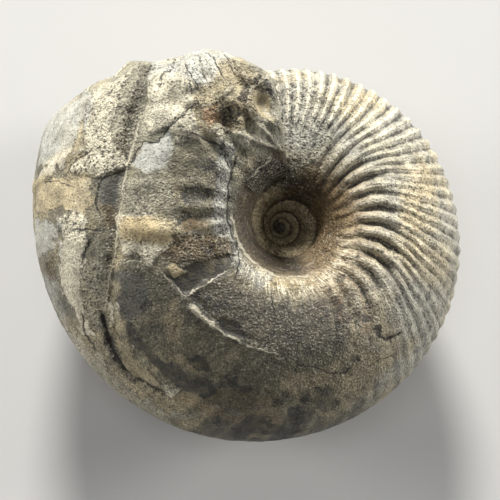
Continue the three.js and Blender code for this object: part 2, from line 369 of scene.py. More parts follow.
bpy.ops.object.select_all(action="DESELECT")
for made in sheets:
    made.select_set(True)
bpy.context.view_layer.objects.active = sheets[0]
bpy.ops.object.join()
ammonite = bpy.context.object
ammonite.name = "ammonite_fossil"
bpy.ops.object.mode_set(mode="EDIT")
bpy.ops.mesh.select_all(action="SELECT")
bpy.ops.mesh.remove_doubles(threshold=0.000002)
bpy.ops.mesh.select_all(action="DESELECT")
bpy.ops.mesh.select_mode(type="EDGE")
bpy.ops.mesh.select_non_manifold()
bpy.ops.mesh.fill_holes(sides=0)
bpy.ops.mesh.select_all(action="DESELECT")
bpy.ops.mesh.select_mode(type="FACE")
bpy.ops.mesh.select_face_by_sides(number=4, type="GREATER")
bpy.ops.mesh.poke()
bpy.ops.mesh.select_all(action="SELECT")
bpy.ops.mesh.normals_make_consistent(inside=False)
bpy.ops.mesh.quads_convert_to_tris()
bpy.ops.object.mode_set(mode="OBJECT")
bpy.ops.object.shade_smooth()


def srgb(red, green, blue):
    """A colour given on a 0 to 255 scale, as the linear value that a shader takes."""
    share = np.array([red, green, blue]) / 255
    return np.where(share <= 0.04045, share / 12.92, ((share + 0.055) / 1.055) ** 2.4)


CREAM = srgb(202, 194, 170)
PALE_GREY = srgb(170, 169, 159)
WARM_GREY = srgb(146, 141, 121)
TAN = srgb(172, 157, 122)
GOLD = srgb(190, 170, 128)
OCHRE = srgb(156, 128, 86)
RUST = srgb(138, 98, 58)
OLIVE = srgb(102, 96, 75)
SLATE = srgb(82, 81, 73)
BROWN = srgb(92, 74, 44)
DARK = srgb(52, 46, 37)
BLACK = srgb(30, 30, 28)

# What has come off, cracked or stained on the upper flank. The points of outlines and lines, and
# the spots, are in tenths of a millimetre right of and above the coil axis, as seen along it. They
# were picked by eye, and a script turned at least half of the points into millimetres.
# Coats: colour, how fully it covers, how grainy it is, and its outline. Their edges are soft.
COATS = [
    (WARM_GREY, 0.7, 1, [(-242, 194), (-222, 219), (-206, 205), (-212, 155), (-220, 107), (-238, 93),
     (-258, 107), (-249, 149)]),
    # A dark trough beside the lip of the furrow: dark grain, and painted shade cast by the lip.
    (DARK, 0.5, 1, [(-216, 215), (-205, 214), (-211, 182), (-218, 161), (-227, 126), (-235, 93), (-243, 52),
     (-248, 18), (-251, -9), (-253, -34), (-256, -61), (-266, -61), (-263, -34), (-259, 18), (-252, 52),
     (-250, 100), (-238, 146), (-229, 182)]),
    (PALE_GREY, 0.7, 0.5, [(-365, -60), (-330, -75), (-324, -105), (-306, -145), (-279, -193), (-240, -240),
     (-280, -240), (-340, -150)]),
    (BROWN, 0.7, 0.9, [(-346, -51), (-329, -44), (-329, -82), (-339, -80)]),
    (SLATE, 0.9, 0.25, [(-275, 55), (-242, 62), (-248, 25), (-253, -14), (-260, -11), (-277, 26)]),
    (BROWN, 0.7, 0.6, [(-277, 21), (-252, 17), (-253, -14), (-266, -11)]),
    (PALE_GREY, 0.95, 0, [(-219, 100), (-198, 104), (-178, 128), (-179, 94), (-186, 67), (-214, 62),
     (-229, 74)]),
    (PALE_GREY * 1.2, 0.75, 0.7, [(-197, 224), (-164, 270), (-98, 265), (-88, 220), (-134, 201),
     (-142, 181), (-160, 190), (-194, 197), (-207, 190)]),
    (TAN, 0.35, 0.7, [(-325, -130), (-300, -190), (-250, -250), (-180, -290), (-112, -300), (-135, -284),
     (-181, -252), (-223, -224), (-250, -193), (-268, -158), (-285, -134)]),
    (TAN, 0.6, 0.6, [(-142, 180), (-128, 214), (-82, 221), (-58, 186), (-57, 152), (-88, 114), (-140, 111),
     (-157, 159)]),
    (BROWN, 0.35, 1, [(-126, 136), (-120, 156), (-91, 169), (-74, 183), (-54, 160), (-79, 122), (-104, 111),
     (-120, 120)]),
    (PALE_GREY * 1.2, 0.8, 0.7, [(-156, 220), (-146, 182), (-129, 180), (-119, 203), (-118, 239),
     (-140, 256)]),
    (BROWN, 0.6, 0.8, [(-99, 197), (-80, 199), (-59, 176), (-52, 136), (-66, 154), (-76, 179)]),
    (RUST, 0.7, 1, [(-139, 148), (-121, 156), (-114, 132), (-129, 125), (-137, 133)]),
    (OLIVE, 0.8, 0.4, [(-152, 114), (-114, 103), (-114, 58), (-178, 52), (-184, 68), (-178, 91)]),
    (WARM_GREY, 0.7, 0.7, [(-245, 52), (-180, 52), (-168, 5), (-245, -2)]),
    (OLIVE, 0.6, 0.5, [(-180, 52), (-114, 55), (-116, 7), (-171, 6)]),
    (PALE_GREY, 0.75, 0.8, [(-118, 103), (-96, 98), (-102, 48), (-103, 5), (-93, -29), (-72, -59),
     (-37, -80), (-52, -95), (-84, -73), (-109, -43), (-124, -5), (-114, 57)]),
    (BROWN, 0.85, 0.1, [(-166, -4), (-128, 0), (-127, -18), (-164, -19)]),
    (BROWN, 0.8, 1, [(-184, -19), (-101, -23), (-95, -51), (-140, -57), (-180, -62), (-194, -54)]),
    (OLIVE * 0.7, 0.55, 0.5, [(-252, -69), (-226, -64), (-193, -73), (-161, -105), (-138, -95), (-95, -73),
     (-52, -100), (-33, -127), (1, -135), (44, -152), (68, -179), (66, -228), (10, -252), (-43, -255),
     (-83, -270), (-123, -251), (-159, -227), (-201, -200), (-225, -168), (-242, -135), (-248, -97)]),
    (SLATE, 0.9, 0.3, [(-250, -75), (-220, -68), (-206, -97), (-218, -124), (-230, -143), (-245, -117)]),
    (WARM_GREY, 0.5, 0.8, [(-298, -60), (-259, -61), (-263, -109), (-268, -150), (-289, -134),
     (-298, -101)]),
    (OCHRE, 0.3, 0.6, [(-176, -233), (-123, -250), (-82, -273), (-43, -262), (0, -278), (-23, -296),
     (-85, -283), (-133, -263), (-178, -241)]),
    (SLATE, 0.3, 0.3, [(48, -209), (70, -193), (102, -201), (97, -227), (73, -247), (49, -238)]),
    (BROWN, 0.45, 0.5, [(-115, -237), (-78, -229), (-46, -243), (-21, -237), (-23, -260), (-72, -268),
     (-110, -254)]),
    (RUST, 0.4, 0.3, [(56, -99), (62, -110), (67, -143), (59, -148), (53, -119)]),
    (RUST, 0.35, 0.3, [(90, -118), (97, -124), (107, -156), (98, -160), (88, -131)]),
    (DARK, 0.55, 1, [(-269, -129), (-262, -135), (-252, -162), (-240, -186), (-226, -209), (-210, -224),
     (-216, -230), (-234, -216), (-252, -189), (-265, -160)]),
    (TAN, 0.4, 0.5, [(-184, -111), (-169, -108), (-162, -135), (-169, -168), (-179, -162), (-189, -135)]),
    (TAN, 0.4, 0.5, [(-173, -190), (-160, -184), (-140, -201), (-133, -215), (-147, -215), (-161, -204)]),
    (OLIVE, 0.5, 0.6, [(-40, -189), (10, -196), (66, -160), (124, -188), (120, -233), (60, -278), (0, -254),
     (-46, -233)]),
    (TAN, 0.35, 0.6, [(-10, -209), (30, -210), (86, -175), (145, -195), (120, -233), (60, -288), (20, -254),
     (-20, -233)]),
    (PALE_GREY, 0.35, 0.4, [(137, -210), (183, -173), (209, -181), (178, -222), (142, -245), (126, -233)]),
    (WARM_GREY, 0.7, 1, [(-12, 199), (24, 205), (55, 190), (68, 161), (53, 102), (27, 80), (4, 72),
     (-24, 96), (-39, 133)]),
    (DARK, 0.7, 0.9, [(-80, 66), (-55, 81), (-3, 77), (12, 53), (-22, 48), (-49, 37), (-75, 41)]),
    (DARK, 0.35, 0.6, [(-110, -46), (-80, -64), (-46, -86), (-5, -96), (36, -108), (34, -146), (24, -182),
     (-34, -186), (-104, -166), (-124, -104)]),
    (BROWN, 0.3, 0.6, [(34, -34), (68, -32), (104, -44), (102, -82), (74, -106), (36, -98), (26, -64)]),
]

# Crusts of sediment and left-over shell: colour, thickness, how grainy, outline. Ragged edges.
CRUSTS = [
    (CREAM, 0.15, 1, [(-291, 181), (-245, 199), (-218, 223), (-244, 189), (-252, 150), (-259, 110),
     (-236, 73), (-277, 59), (-315, 68), (-291, 93), (-296, 140)]),
    (PALE_GREY, 0.1, 0.2, [(-330, 180), (-290, 180), (-288, 160), (-299, 126), (-307, 95), (-322, 74),
     (-360, 89), (-360, 143)]),
    (CREAM, 0.3, 0.3, [(-358, 58), (-338, 81), (-322, 91), (-294, 103), (-290, 96), (-314, 86), (-326, 76),
     (-345, 55)]),
    (TAN, 0.15, 0.15, [(-360, 59), (-323, 60), (-287, 57), (-279, 27), (-294, 6), (-315, 14), (-360, 20)]),
    (CREAM, 0.2, 0.9, [(-330, 6), (-310, 6), (-292, -2), (-288, -28), (-296, -40), (-323, -25)]),
    (CREAM, 0.2, 0.5, [(-330, -26), (-304, -18), (-290, -57), (-297, -82), (-289, -129), (-272, -162),
     (-290, -158), (-316, -102), (-326, -60)]),
    (PALE_GREY, 0.1, 0.2, [(-365, 15), (-328, -7), (-330, -40), (-360, -43)]),
    (CREAM, 0.35, 0.6, [(-207, 184), (-194, 202), (-173, 193), (-154, 182), (-149, 162), (-161, 148),
     (-174, 135), (-195, 116), (-211, 108), (-214, 133), (-210, 161)]),
    (CREAM, 0.2, 0.8, [(-202, 230), (-174, 260), (-154, 245), (-164, 220), (-185, 215)]),
    (CREAM, 0.3, 0.8, [(-182, 124), (-152, 149), (-147, 120), (-156, 107), (-178, 92)]),
    (TAN, 0.2, 1, [(-138, 156), (-129, 172), (-105, 183), (-96, 172), (-116, 159), (-130, 149)]),
    (CREAM, 0.1, 0.8, [(-126, 122), (-119, 126), (-106, 115), (-110, 111), (-128, 116)]),
    (TAN, 0, 0, [(-70, 175), (-53, 174), (-43, 155), (-43, 133), (-59, 139), (-72, 159)]),
    (CREAM, 0.15, 0.7, [(-249, 3), (-205, 1), (-176, -5), (-180, -29), (-189, -48), (-206, -62),
     (-222, -49), (-245, -49)]),
    (GOLD * 0.9, 0.2, 0, [(-238, -5), (-210, -5), (-182, -10), (-173, -21), (-189, -29), (-216, -26),
     (-238, -23)]),
    (TAN, 0.2, 0.3, [(-188, -66), (-178, -61), (-169, -71), (-161, -74), (-173, -80)]),
    (CREAM, 0.1, 0.8, [(-259, -109), (-247, -123), (-250, -138), (-246, -154), (-229, -173), (-216, -193),
     (-183, -223), (-161, -237), (-169, -244), (-198, -228), (-222, -211), (-238, -190), (-256, -147)]),
    (TAN * 0.65, 0, 0.4, [(-252, -149), (-237, -170), (-222, -193), (-197, -218), (-186, -232),
     (-210, -219), (-233, -196), (-246, -171)]),
    (WARM_GREY, 0.1, 0.6, [(-270, -183), (-249, -209), (-210, -243), (-169, -263), (-130, -276),
     (-175, -280), (-236, -252), (-285, -201)]),
]

# Dark stains: depth, how grainy, outline. Ragged edges too.
STAINS = [
    (0.15, 1, [(-118, 152), (-102, 149), (-92, 128), (-110, 129)]),
    (0.1, 1, [(-86, 176), (-69, 192), (-49, 183), (-34, 154), (-44, 168), (-70, 179), (-82, 147)]),
    (0, 0.3, [(-156, 87), (-123, 79), (-120, 63), (-148, 68)]),
    (0.1, 0.4, [(-174, 39), (-141, 42), (-130, 23), (-161, 19)]),
    (0.15, 0.1, [(-192, -73), (-176, -82), (-152, -62), (-135, -56), (-98, -51), (-95, -70), (-116, -80),
     (-138, -92), (-160, -104), (-172, -90)]),
    (0, 0.1, [(-243, -137), (-229, -146), (-216, -166), (-199, -182), (-177, -195), (-147, -209),
     (-114, -220), (-102, -234), (-124, -244), (-151, -236), (-181, -218), (-205, -195), (-225, -169)]),
    (0, 0.1, [(-147, -111), (-139, -108), (-130, -115), (-133, -122), (-145, -119)]),
    (0.05, 0.1, [(-120, -135), (-85, -146), (-79, -157), (-59, -158), (-58, -169), (-69, -169), (-86, -160),
     (-105, -152)]),
    (0, 0.2, [(-156, -187), (-140, -188), (-118, -202), (-119, -210), (-136, -211), (-150, -198)]),
    (0, 0.3, [(-104, -216), (-82, -220), (-63, -234), (-69, -241), (-94, -233)]),
    (0, 0.3, [(-72, -283), (-50, -269), (-18, -283), (21, -293), (3, -306), (-32, -302), (-56, -299)]),
    (0, 0.3, [(19, -252), (45, -229), (64, -238), (51, -261)]),
]

# Small dark spots: their middle and radius.
SPOTS = [
    (64, -79, 5), (85, -50, 4.5), (16, -246, 8), (62, -255, 9), (5, -269, 9), (-37, -286, 13),
    (72, -207, 7), (86, -193, 4), (34, -238, 7), (52, -264, 7), (-24, -254, 7), (-15, -243, 5),
    (-145, -113, 8), (-133, -124, 5), (-86, -37, 6), (14, -290, 9), (-69, -293, 8), (-98, -277, 7),
    (-93, 142, 6), (-86, 162, 6), (-104, 166, 5), (98, -136, 4), (134, -164, 5), (116, -154, 4),
    (-223, -42, 5), (-162, 2, 5), (-132, 34, 5), (-126, -43, 6), (-284, -49, 4), (-299, 90, 4),
    (-279, 63, 5), (-210, -120, 5),
]

# Low swells and hollows, in millimetres: middle, half length, half width, direction in degrees,
# height.
SWELLS = [
    ((-5.7, 15.6), 2.2, 1.2, 120, -1.1),
    ((-10.2, 13.8), 1.3, 0.9, 60, -0.45),
    ((-12.8, 13.8), 1.3, 1, 80, 0.45),
    ((-11, 18.6), 2.2, 0.9, 10, 0.45),
    ((-8.9, 17), 0.9, 0.7, 60, 0.4),
    ((-20.7, -1.6), 3.2, 1.1, -5, 0.45),
    ((-21.6, 4.6), 2.4, 0.8, 10, 0.15),
    ((-26.2, 2), 3.4, 1.2, 95, -0.35),
    ((-27.6, -9.5), 4.2, 1.3, 100, -0.35),
    ((-27, 13.5), 4.5, 1.6, 75, 0.35),
    ((-14.3, -7.6), 3.6, 1.2, 20, -0.25),
    ((-23.1, 13.5), 6, 1, 78, -0.45),
]

# Lines: half width, how far they stand up, and their points. Those that stand up are pale veins
# and broken edges of shell, and the rest are dark cracks.
LINES = [
    (0.12, 0.35, [(-115, 233), (-101, 225), (-89, 206), (-78, 186)]),
    (0.09, 0.25, [(-93, 214), (-80, 197), (-73, 175)]),
    (0.15, 0.4, [(-75, 144), (-64, 128), (-49, 115), (-34, 100)]),
    (0.08, 0.25, [(-170, 246), (-163, 226), (-160, 204)]),
    (0.08, 0.25, [(-146, 249), (-147, 224), (-142, 200)]),
    (0.08, 0.25, [(-120, 244), (-120, 226), (-117, 208)]),
    (0.1, 0.35, [(-136, 233), (-138, 209), (-132, 186), (-134, 170)]),
    (0.1, 0.3, [(-130, 218), (-128, 198), (-130, 175)]),
    (0.14, 0.35, [(-155, 187), (-151, 167), (-144, 156)]),
    (0.08, 0.25, [(-105, 231), (-102, 211), (-91, 197)]),
    (0.1, 0.3, [(-164, 211), (-171, 188), (-181, 171)]),
    (0.1, 0.3, [(-139, 151), (-121, 159), (-102, 173)]),
    (0.1, 0.3, [(-79, 156), (-74, 174), (-62, 184)]),
    (0.22, 0.35, [(-113, 124), (-96, 116), (-80, 112), (-67, 107), (-48, 100), (-29, 96)]),
    (0.16, 0.45, [(-224, 126), (-232, 93), (-240, 52), (-245, 18), (-248, -9), (-250, -34), (-253, -61),
     (-259, -83), (-262, -104), (-262, -121)]),
    (0.26, -0.5, [(-266, -135), (-258, -162), (-246, -189), (-230, -211)]),
    (0.2, -0.4, [(-211, -221), (-197, -231), (-180, -239)]),
    (0.12, -0.3, [(-292, -131), (-287, -155), (-274, -178)]),
    (0.11, -0.2, [(-152, 151), (-161, 141), (-177, 129), (-189, 114), (-198, 104), (-208, 102), (-218, 104),
     (-227, 89), (-234, 73)]),
    (0.12, -0.2, [(-238, 65), (-257, 61), (-272, 53), (-278, 39), (-279, 21), (-275, 5)]),
    (0.11, -0.25, [(-316, 66), (-312, 76), (-303, 85), (-294, 88), (-288, 93)]),
    (0.1, -0.2, [(-304, -13), (-286, -14), (-268, -16), (-252, -13)]),
    (0.08, -0.1, [(-340, 57), (-330, 58), (-320, 51), (-312, 48)]),
    (0.42, 0.35, [(-148, -123), (-136, -134), (-120, -147)]),
    (0.18, 0.25, [(-120, -147), (-102, -158), (-82, -168)]),
    (0.11, 0.2, [(-82, -168), (-60, -177), (-34, -184)]),
    (0.07, 0.1, [(-193, -73), (-180, -85), (-167, -98), (-159, -107)]),
    (0.1, 0.18, [(-159, -107), (-141, -95), (-126, -86), (-106, -73)]),
    (0.1, -0.2, [(-159, 210), (-151, 189), (-142, 170)]),
    (0.1, -0.2, [(-141, 224), (-136, 196), (-129, 179)]),
    (0.1, -0.2, [(-126, 230), (-121, 208), (-113, 192)]),
    (0.1, -0.2, [(-180, 210), (-189, 194), (-194, 181)]),
    (0.1, -0.2, [(-166, 234), (-174, 216), (-180, 200)]),
    (0.1, -0.2, [(-106, 221), (-101, 209), (-96, 196)]),
    (0.1, -0.2, [(-156, 180), (-149, 164), (-145, 154)]),
    (0.13, -0.3, [(-92, 80), (-97, 64), (-101, 41), (-101, 20), (-101, -1), (-93, -23)]),
    (0.2, 0.15, [(-95, 5), (-86, -28), (-67, -56), (-45, -71), (-19, -79), (13, -77)]),
    (0.07, 0.1, [(-285, -130), (-274, -140), (-266, -148)]),
    (0.2, -0.3, [(121, -161), (130, -166), (138, -163), (148, -158)]),
    (0.1, -0.15, [(6, -201), (27, -204), (48, -212), (73, -212), (80, -201)]),
    (0.08, -0.1, [(111, -199), (126, -191), (143, -187)]),
    (0.1, -0.15, [(-86, -37), (-83, -59), (-89, -79)]),
    (0.09, -0.12, [(-38, -111), (-33, -138), (-38, -165)]),
    (0.09, -0.12, [(-1, -176), (-1, -207)]),
    (0.12, -0.25, [(-154, 113), (-140, 108), (-124, 102), (-113, 95)]),
    (0.12, -0.25, [(-295, -57), (-291, -41), (-286, -32)]),
    (0.12, -0.2, [(-109, 102), (-108, 86), (-102, 72)]),
    (0.12, 0.3, [(-70, 58), (-60, 68), (-51, 74), (-45, 80)]),
    (0.09, 0.1, [(-246, -61), (-234, -58), (-220, -59), (-207, -65)]),
]


def in_mm(points):
    return [(x / 10, y / 10) for x, y in points]


def inside_distance(outline, x, y):
    """Signed distance to a closed outline in millimetres, positive inside."""
    outline = in_mm(outline)
    nearest = np.full(x.shape, 1e9)
    inside = np.zeros(x.shape, bool)
    for (ax, ay), (bx, by) in zip(outline, outline[1:] + outline[:1]):
        dx, dy = bx - ax, by - ay
        t = np.clip(((x - ax) * dx + (y - ay) * dy) / (dx * dx + dy * dy), 0, 1)
        nearest = np.minimum(nearest, np.hypot(x - ax - t * dx, y - ay - t * dy))
        crosses = (ay > y) != (by > y)
        inside ^= crosses & (x < ax + (y - ay) * dx / (dy if dy else 1e-9))
    return np.where(inside, nearest, -nearest)


def line_distance(points, x, y):
    """Signed distance to an open line, and how far past its ends a point lies."""
    points = in_mm(points)
    nearest, side, past = np.full(x.shape, 1e9), np.ones(x.shape), np.zeros(x.shape)
    last = len(points) - 2
    for i, ((ax, ay), (bx, by)) in enumerate(zip(points, points[1:])):
        dx, dy = bx - ax, by - ay
        length = np.hypot(dx, dy)
        t = ((x - ax) * dx + (y - ay) * dy) / length ** 2
        held = np.clip(t, -1e3 if i == 0 else 0, 1e3 if i == last else 1)
        distance = np.hypot(x - ax - held * dx, y - ay - held * dy)
        closer = distance < nearest
        nearest = np.where(closer, distance, nearest)
        side = np.where(closer, np.sign(dx * (y - ay) - dy * (x - ax)), side)
        past = np.where(closer, np.maximum(0, np.maximum(-t, t - 1)) * length, past)
    return nearest * side, past


def blend(under, over, weight):
    return under * (1 - weight[:, None]) + over * weight[:, None]


def washed(tint, washes):
    """A tint with colours laid over it in turn, each by its own weight."""
    for colour, weight in washes:
        tint = blend(tint, colour, weight)
    return tint


skin = ammonite.data
vertex_count = len(skin.vertices)


def read(source, key, width):
    values = np.empty(vertex_count * width)
    source.foreach_get(key, values)
    return values.reshape(-1, width)


place = read(skin.vertices, "co", 3) / MM
normals = read(skin.vertices, "normal", 3)
coil_degrees = read(skin.attributes["coil_degrees"].data, "value", 1)[:, 0]
coil_section = read(skin.attributes["coil_section"].data, "value", 1)[:, 0]
share = share_to_venter(coil_section)
from_seam = np.minimum(coil_section, SECTION_END - coil_section)
# On the steep venter the outlines wander, and they peter out unevenly below it.
steep = 1 - fade(0.05, 0.4, normals[:, 2])
flat_x = place[:, 0] + 1.6 * steep * noise(place, 3.5, 26)
flat_y = place[:, 1] + 1.6 * steep * noise(place, 3.5, 27)
petering = normals[:, 2] + 0.3 * noise(place, 5, 28) + 0.12 * noise(place, 1.8, 29)
upper = fade(-1, 1.5, place[:, 2]) * fade(-0.3, 0.0, petering)

# Regions along the coil, in degrees.
BODY_CHAMBER = (150, 180, 283, 300)
LOWER_BODY = (110, 150, 232, 258)
TOP_FLANK = (-14, -9, 40, 75)
SHADED_BROWN_RIM = (-15, 20, 85, 125)
GOLD_SHOULDER = (70, 125, 215, 245)
STREAKED_SHOULDER = (95, 125, 220, 250)
BROWN_RIBS = (35, 65, 150, 180)
LOWER_RIGHT = (85, 115, 150, 190)
BELOW_SHOULDER = (110, 165, 240, 262)


def region(span):
    return between(span, coil_degrees)


# The plain coat: pale ribs, an olive body chamber, brown walls in the umbilicus darkened by painted
# shade, gold on its shoulder, and stains that wander over both flanks.
broad = noise(place, 9, 11) + 0.5 * noise(place, 4, 12)
broad_too = noise(place, 6, 15) + 0.6 * noise(place, 2.8, 16)
fine = noise(place, 1.5, 13) + 0.5 * noise(place, 0.8, 14)
path = rib_path(share, coil_degrees)
across_ribs = np.stack([path * 0.55, share * 5, 0 * path], -1)
radial = noise(across_ribs, 1.6, 17) + 0.6 * noise(across_ribs, 0.7, 18)
in_wall = 1 - fade(2.8, 4.1, from_seam)
inner = 1 - fade(-13, -10, coil_degrees)
low = region(LOWER_BODY)
top_flank = region(TOP_FLANK)
shoulder = hump(4, 0.75, from_seam) * (1 - inner) * region(GOLD_SHOULDER)
# Where pale streaks, partly a painted highlight, run along the gold shoulder.
streaks_and_sheen = hump(4.25, 0.6, from_seam) * region(STREAKED_SHOULDER)
ring = fade(0.5, 1.6, coil_section) * (0.75 + 0.4 * radial)
tint = washed(np.tile(WARM_GREY, (vertex_count, 1)), [
    (OLIVE, 0.75 * region(BODY_CHAMBER)),
    (CREAM, 0.5 * (1 - fade(120, 165, coil_degrees))),
    (TAN, 0.5 * fade(0, 0.6, broad + 0.3 * fine)),
    (SLATE, 0.5 * fade(0, 0.6, -broad + 0.3 * fine)),
    (DARK, 0.6 * low * fade(0.0, 0.6, radial)),
    (TAN, 0.4 * low * fade(0.1, 0.6, -radial)),
    # On the top flank the inner part is dirty, and browner towards the umbilicus.
    (WARM_GREY, 0.8 * top_flank * (1 - fade(0.45, 0.75, share))),
    (BROWN, 0.55 * top_flank * (1 - fade(0.1, 0.4, share))),
    # Dark brown by the rim of the umbilicus: partly the stone's brown, partly painted shade where the wall
    # falls into shadow.
    (BROWN * 0.8, (1 - fade(0.04, 0.2, share)) * region(SHADED_BROWN_RIM)),
    # The walls of the umbilicus are brown and darkened further as painted shade, most of all deep down
    # towards the seam.
    (BROWN * 0.55, 0.9 * in_wall * (1 - inner)),
    (BROWN * 0.25, 0.9 * (1 - fade(2.4, 3.8, from_seam)) * (1 - inner)
     * fade(50, 100, coil_degrees) * (1 - 0.5 * fade(225, 260, coil_degrees))),
    (GOLD * 0.85, 0.75 * shoulder),
    # Pale growth streaks on the shoulder, partly a painted highlight.
    (CREAM, 0.5 * fade(0.0, 0.5, radial) * streaks_and_sheen),
    # The inner whorls are grey-brown, darkened as painted shade deep in the umbilicus, with painted shade
    # as a dark line along each seam.
    (BROWN, inner),
    (TAN * 0.9, inner * np.clip(ring, 0, 1) * 0.75),
    (DARK * 0.5, (1 - fade(0.15, 0.9, from_seam)) * 0.85),
])
grain = 0.4 + 0.3 * fade(-0.4, 0.6, broad)
height = np.zeros(vertex_count)

ragged = 0.45 * noise(place, 1.9, 21) + 0.25 * noise(place, 0.8, 22)
COAT_EDGE, CRUST_EDGE = 0.35, 0.3  # half the width of a soft edge, in millimetres
EDGE = 0.8  # millimetres over which a cover goes from 0 at the outline to 1


def within(distance, edge):
    return fade(-edge, edge, distance + ragged) * upper


def reach(distance):
    """How far a crust or a stain covers, from -1 to 1: the material breaks up the edge at 0."""
    return np.clip((distance + ragged) / EDGE, -1, 1) * upper - (1 - upper)


for colour, cover, rough, outline in COATS:
    weight = within(inside_distance(outline, flat_x, flat_y), COAT_EDGE)
    tint = blend(tint, colour, cover * weight)
    grain = grain * (1 - weight) + rough * weight

# The ribs differ in colour: bluish, golden, and golden brown near the umbilicus.
on_ribs = (1 - fade(125, 160, coil_degrees)) * (1 - in_wall) * (1 - inner)
on_ribs *= fade(0.1, 0.35, share)
bluish = broad_too + 0.6 * (share - 0.5)
near_wall = (1 - fade(0.15, 0.4, share)) * region(BROWN_RIBS)
shaded_below_shoulder = region(BELOW_SHOULDER)
shaded_below_shoulder *= fade(0.1, 0.2, share) * (1 - fade(0.3, 0.75, share + 0.15 * broad))
tint = washed(tint, [
    (PALE_GREY * 0.85, 0.6 * on_ribs * fade(0, 0.5, bluish)),
    (GOLD, 0.4 * on_ribs * fade(0.05, 0.6, -bluish)),
    (OCHRE, 0.35 * near_wall),
    (DARK * 1.4, region(LOWER_RIGHT) * (1 - in_wall) * 0.22),
    # Below the shoulder of the umbilicus the body chamber is painted dark: painted shade, where the flank
    # turns away from the light.
    (DARK * 1.2, 0.55 * shaded_below_shoulder * upper),
])

crust_cover = -0.8 + 0.5 * broad - in_wall
crust_tint = np.tile(CREAM, (vertex_count, 1))
for colour, thickness, rough, outline in CRUSTS:
    distance = inside_distance(outline, flat_x, flat_y)
    crust_cover = np.maximum(crust_cover, reach(distance))
    crust_tint = blend(crust_tint, colour, fade(-1.2, -0.4, distance) * upper)
    weight = within(distance, CRUST_EDGE)
    grain = grain * (1 - weight) + rough * weight
    height += thickness * weight
crust_tint = blend(crust_tint, WARM_GREY, 0.4 * fade(0, 0.7, broad_too + 0.5 * fine))
crust_tint = blend(crust_tint, OLIVE, 0.25 * fade(0.1, 0.8, -broad_too + 0.5 * fine))
stain_cover = -0.85 + 0.7 * broad_too * fade(120, 160, coil_degrees) - in_wall
for depth, rough, outline in STAINS:
    distance = inside_distance(outline, flat_x, flat_y)
    stain_cover = np.maximum(stain_cover, reach(distance))
    weight = within(distance, CRUST_EDGE)
    grain = grain * (1 - weight) + rough * weight
    height -= depth * weight
SPOT_DEPTH = 0.12
for middle_x, middle_y, radius in SPOTS:
    distance = radius / 10 - np.hypot(flat_x - middle_x / 10, flat_y - middle_y / 10)
    stain_cover = np.maximum(stain_cover, reach(distance))
    height -= SPOT_DEPTH * fade(-CRUST_EDGE, CRUST_EDGE, distance) * upper

for (middle_x, middle_y), half_length, half_width, direction, swell in SWELLS:
    along_x, along_y = np.cos(np.radians(direction)), np.sin(np.radians(direction))
    along = ((flat_x - middle_x) * along_x + (flat_y - middle_y) * along_y) / half_length
    aside = ((flat_y - middle_y) * along_x - (flat_x - middle_x) * along_y) / half_width
    height += swell * np.exp(-along ** 2 - aside ** 2) * upper

# For each kind of line: the distance across it in millimetres, its half width, how near it is.
lines = {kind: [np.full(vertex_count, 9.0), np.ones(vertex_count), np.zeros(vertex_count)]
         for kind in ("crack", "vein")}
LINE_REACH = 1.2  # millimetres out to which a line is traced
for half_width, stands, points in LINES:
    distance, past = line_distance(points, flat_x, flat_y)
    near = 1 - fade(LINE_REACH - 0.5, LINE_REACH, np.abs(distance))
    near = near * (1 - fade(0, 0.9, past)) * upper
    kind = lines["crack" if stands < 0 else "vein"]
    closer = (np.abs(distance) < np.abs(kind[0])) & (near > 0)
    kind[0] = np.where(closer, distance, kind[0])
    kind[1] = np.where(closer, half_width, kind[1])
    kind[2] = np.where(closer, near, kind[2])
    spread = max(half_width, 0.3)
    height += stands * half_width / spread * hump(0, spread, distance) * near

height += 0.12 * grain * noise(place, 0.9, 23) + 0.06 * noise(place, 2.5, 24)
moved = (place + normals * (height * np.minimum(1, whorl_scale(coil_degrees) * 1.4))[:, None]) * MM
skin.vertices.foreach_set("co", moved.ravel())

primary, secondary = rib_waves(share, coil_degrees)
# On the top flank only the sharp tops of the ribs are painted white: a painted highlight along each crest.
crest_highlight = ((1 + np.cos(np.radians(path) * SECONDARY_RIBS)) / 2) ** 4
crest_highlight *= top_flank * fade(0.35, 0.6, share)
cracked = fade(0.0, 0.5, noise(place, 12, 31)) * fade(150, 190, coil_degrees)
painted = {
    "ribs": 1.4 * primary + 0.9 * secondary + 0.6 * rim_swells(share, coil_degrees),
    "rib_path": path,
    "crest_highlight": crest_highlight,
    "streaks_and_sheen": streaks_and_sheen,
    "ribbed": (1 - in_wall) * (1 - fade(120, 170, coil_degrees)),
    "wall": in_wall,
    "cracked": cracked * (1 - in_wall) * (1 - 0.6 * upper),
    "grain": grain,
    "crust": crust_cover,
    "stain": stain_cover,
}
for name, (across, half_width, near) in lines.items():
    painted[name + "_across"] = across
    painted[name + "_finer"] = 1 / half_width
    painted[name + "_near"] = near
for name, values in painted.items():
    keep(skin, name, values)
for name, colours in (("tint", tint), ("crust_tint", crust_tint)):
    filled = np.concatenate([colours, np.ones((vertex_count, 1))], 1)
    keep(skin, name, filled, "FLOAT_COLOR", "color")

# The shell is laid on its lower flank, in the middle of the frame's box.
lean = Matrix.Rotation(np.radians(LEAN_Y), 4, "Y") @ Matrix.Rotation(np.radians(LEAN_X), 4, "X")
skin.transform(lean)
placed = read(skin.vertices, "co", 3)
cad_low, cad_high = (np.array(corner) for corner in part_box("ammonite"))
middle = (placed.min(0) + placed.max(0)) / 2
box_middle = (cad_low + cad_high) / 2
shell_origin = Vector((box_middle[0] - middle[0], box_middle[1] - middle[1],
                       cad_low[2] - placed[:, 2].min()))
skin.transform(Matrix.Translation(shell_origin))
skin.update()
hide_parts("ammonite")
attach(ammonite, "root")

# ---- Ammonite: stone ------------------------------------------------------------------------
# Weathered limestone: the painted coat above, broken up by grains, pores and sparkling crystals.


